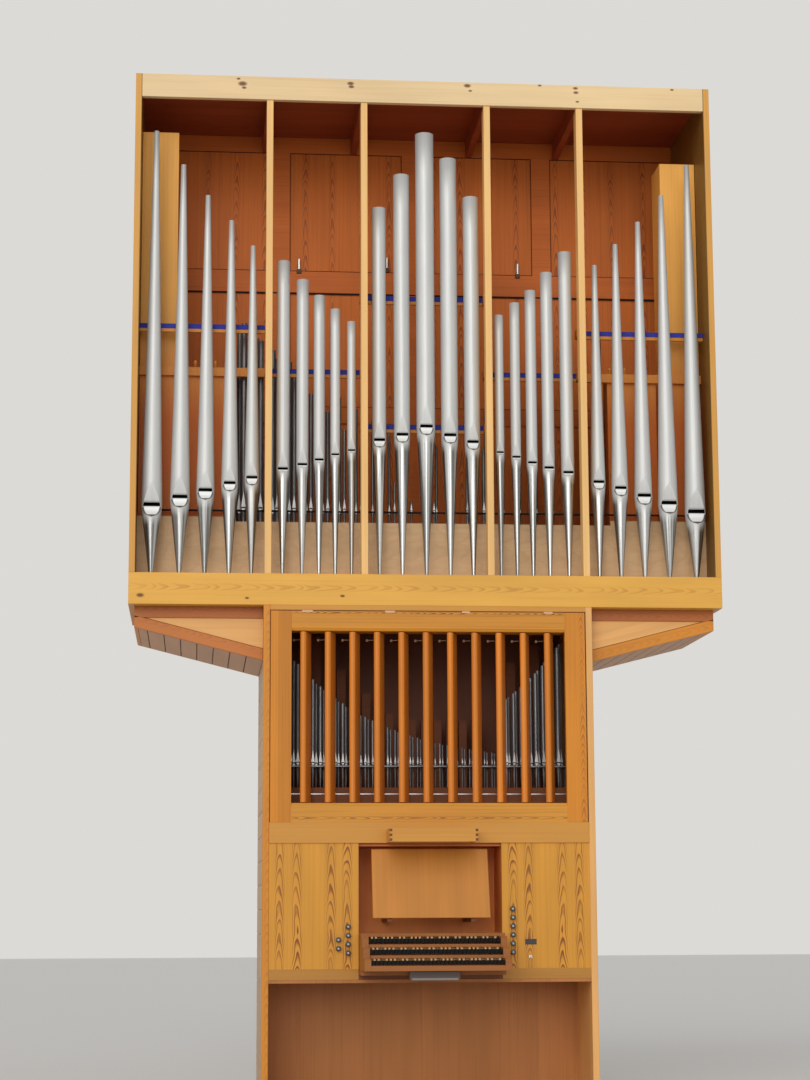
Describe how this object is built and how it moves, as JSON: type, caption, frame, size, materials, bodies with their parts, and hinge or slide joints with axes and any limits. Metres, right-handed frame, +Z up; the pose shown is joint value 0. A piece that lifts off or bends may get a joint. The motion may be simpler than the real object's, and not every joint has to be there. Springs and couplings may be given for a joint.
{
  "type": "pipe organ",
  "caption": "Built-in church organ: upper case with an open front of display pipes on a narrower case with swell shutters and a console.",
  "frame": {"origin": "middle of the whole, pedalboard included, on the floor", "axes": "+Z up; the front with the keyboards faces -Y; +X is to the right seen from the front"},
  "size_m": [3.64, 1.6, 6.341],
  "materials": {
    "pine": "clear satin lacquer",
    "pale_pine": "clear satin lacquer",
    "dark_pine": "clear satin lacquer, in shade",
    "panel_pine": "clear satin lacquer",
    "plywood": "clear matt lacquer",
    "pipe_metal": "planed tin, satin",
    "felt": "dense wool felt",
    "ebony": "polished black",
    "bone": "polished",
    "steel": "grey enamel",
    "knob_black": "turned and polished"
  },
  "bodies": {
    "case": {"case_sides": "pine", "case_roof": "dark_pine", "roof_beams": "dark_pine", "top_rail": "pale_pine", "bottom_rail": "pine", "case_floor": "pine", "mullions": "pine", "back_frame": "dark_pine", "back_panels": "dark_pine", "wind_chest": "plywood", "pipe_rails": "felt", "tapered_pipes": "pipe_metal", "straight_pipes": "pipe_metal", "middle_pipes": "pipe_metal", "inner_pipes": "pipe_metal", "pedal_pipes": "pine", "brackets": "pine", "lower_sides": "pine", "lower_back": "pine", "swell_stiles": "pine", "swell_head": "pine", "swell_sill": "pine", "swell_roof": "pine", "swell_chest": "dark_pine", "swell_pipes": "pipe_metal", "lamp_box": "pine", "console_rails": "pine", "console_panels": "panel_pine", "console_niche": "dark_pine", "music_desk": "plywood", "key_frame": "pine", "naturals": "ebony", "sharps": "bone", "pedal_lamp": "steel", "knee_panels": "dark_pine", "pedalboard": "pine"},
    "shutter_1_body": {"shutter_1": "pine"},
    "shutter_2_body": {"shutter_2": "pine"},
    "shutter_3_body": {"shutter_3": "pine"},
    "shutter_4_body": {"shutter_4": "pine"},
    "shutter_5_body": {"shutter_5": "pine"},
    "shutter_6_body": {"shutter_6": "pine"},
    "shutter_7_body": {"shutter_7": "pine"},
    "shutter_8_body": {"shutter_8": "pine"},
    "shutter_9_body": {"shutter_9": "pine"},
    "shutter_10_body": {"shutter_10": "pine"},
    "shutter_11_body": {"shutter_11": "pine"},
    "knob_1_body": {"knob_1": "knob_black"},
    "knob_2_body": {"knob_2": "knob_black"},
    "knob_3_body": {"knob_3": "knob_black"},
    "knob_4_body": {"knob_4": "knob_black"},
    "knob_5_body": {"knob_5": "knob_black"},
    "knob_6_body": {"knob_6": "knob_black"},
    "knob_7_body": {"knob_7": "knob_black"},
    "knob_8_body": {"knob_8": "knob_black"},
    "knob_9_body": {"knob_9": "knob_black"},
    "knob_10_body": {"knob_10": "knob_black"},
    "knob_11_body": {"knob_11": "knob_black"},
    "knob_12_body": {"knob_12": "knob_black"}
  },
  "joints": [
    {"name": "shutter_1_turn", "type": "hinge", "parent": "case", "child": "shutter_1_body", "pos_m": [-0.745, -0.164, 2.312], "axis": [0, 0, 1], "range_deg": [-71, 19]},
    {"name": "shutter_2_turn", "type": "hinge", "parent": "case", "child": "shutter_2_body", "pos_m": [-0.596, -0.164, 2.312], "axis": [0, 0, 1], "range_deg": [-71, 19]},
    {"name": "shutter_3_turn", "type": "hinge", "parent": "case", "child": "shutter_3_body", "pos_m": [-0.447, -0.164, 2.312], "axis": [0, 0, 1], "range_deg": [-71, 19]},
    {"name": "shutter_4_turn", "type": "hinge", "parent": "case", "child": "shutter_4_body", "pos_m": [-0.298, -0.164, 2.312], "axis": [0, 0, 1], "range_deg": [-71, 19]},
    {"name": "shutter_5_turn", "type": "hinge", "parent": "case", "child": "shutter_5_body", "pos_m": [-0.149, -0.164, 2.312], "axis": [0, 0, 1], "range_deg": [-71, 19]},
    {"name": "shutter_6_turn", "type": "hinge", "parent": "case", "child": "shutter_6_body", "pos_m": [0, -0.164, 2.312], "axis": [0, 0, 1], "range_deg": [-71, 19]},
    {"name": "shutter_7_turn", "type": "hinge", "parent": "case", "child": "shutter_7_body", "pos_m": [0.149, -0.164, 2.312], "axis": [0, 0, 1], "range_deg": [-71, 19]},
    {"name": "shutter_8_turn", "type": "hinge", "parent": "case", "child": "shutter_8_body", "pos_m": [0.298, -0.164, 2.312], "axis": [0, 0, 1], "range_deg": [-71, 19]},
    {"name": "shutter_9_turn", "type": "hinge", "parent": "case", "child": "shutter_9_body", "pos_m": [0.447, -0.164, 2.312], "axis": [0, 0, 1], "range_deg": [-71, 19]},
    {"name": "shutter_10_turn", "type": "hinge", "parent": "case", "child": "shutter_10_body", "pos_m": [0.596, -0.164, 2.312], "axis": [0, 0, 1], "range_deg": [-71, 19]},
    {"name": "shutter_11_turn", "type": "hinge", "parent": "case", "child": "shutter_11_body", "pos_m": [0.745, -0.164, 2.312], "axis": [0, 0, 1], "range_deg": [-71, 19]},
    {"name": "knob_1_draw", "type": "slide", "parent": "case", "child": "knob_1_body", "axis": [0, -1, 0], "range_m": [0, 0.03]},
    {"name": "knob_2_draw", "type": "slide", "parent": "case", "child": "knob_2_body", "axis": [0, -1, 0], "range_m": [0, 0.03]},
    {"name": "knob_3_draw", "type": "slide", "parent": "case", "child": "knob_3_body", "axis": [0, -1, 0], "range_m": [0, 0.03]},
    {"name": "knob_4_draw", "type": "slide", "parent": "case", "child": "knob_4_body", "axis": [0, -1, 0], "range_m": [0, 0.03]},
    {"name": "knob_5_draw", "type": "slide", "parent": "case", "child": "knob_5_body", "axis": [0, -1, 0], "range_m": [0, 0.03]},
    {"name": "knob_6_draw", "type": "slide", "parent": "case", "child": "knob_6_body", "axis": [0, -1, 0], "range_m": [0, 0.03]},
    {"name": "knob_7_draw", "type": "slide", "parent": "case", "child": "knob_7_body", "axis": [0, -1, 0], "range_m": [0, 0.03]},
    {"name": "knob_8_draw", "type": "slide", "parent": "case", "child": "knob_8_body", "axis": [0, -1, 0], "range_m": [0, 0.03]},
    {"name": "knob_9_draw", "type": "slide", "parent": "case", "child": "knob_9_body", "axis": [0, -1, 0], "range_m": [0, 0.03]},
    {"name": "knob_10_draw", "type": "slide", "parent": "case", "child": "knob_10_body", "axis": [0, -1, 0], "range_m": [0, 0.03]},
    {"name": "knob_11_draw", "type": "slide", "parent": "case", "child": "knob_11_body", "axis": [0, -1, 0], "range_m": [0, 0.03]},
    {"name": "knob_12_draw", "type": "slide", "parent": "case", "child": "knob_12_body", "axis": [0, -1, 0], "range_m": [0, 0.03]}
  ],
  "couplings": [
    {"joint": "shutter_2_turn", "follows": "shutter_1_turn", "ratio": 1},
    {"joint": "shutter_3_turn", "follows": "shutter_1_turn", "ratio": 1},
    {"joint": "shutter_4_turn", "follows": "shutter_1_turn", "ratio": 1},
    {"joint": "shutter_5_turn", "follows": "shutter_1_turn", "ratio": 1},
    {"joint": "shutter_6_turn", "follows": "shutter_1_turn", "ratio": 1},
    {"joint": "shutter_7_turn", "follows": "shutter_1_turn", "ratio": 1},
    {"joint": "shutter_8_turn", "follows": "shutter_1_turn", "ratio": 1},
    {"joint": "shutter_9_turn", "follows": "shutter_1_turn", "ratio": 1},
    {"joint": "shutter_10_turn", "follows": "shutter_1_turn", "ratio": 1},
    {"joint": "shutter_11_turn", "follows": "shutter_1_turn", "ratio": 1}
  ]
}
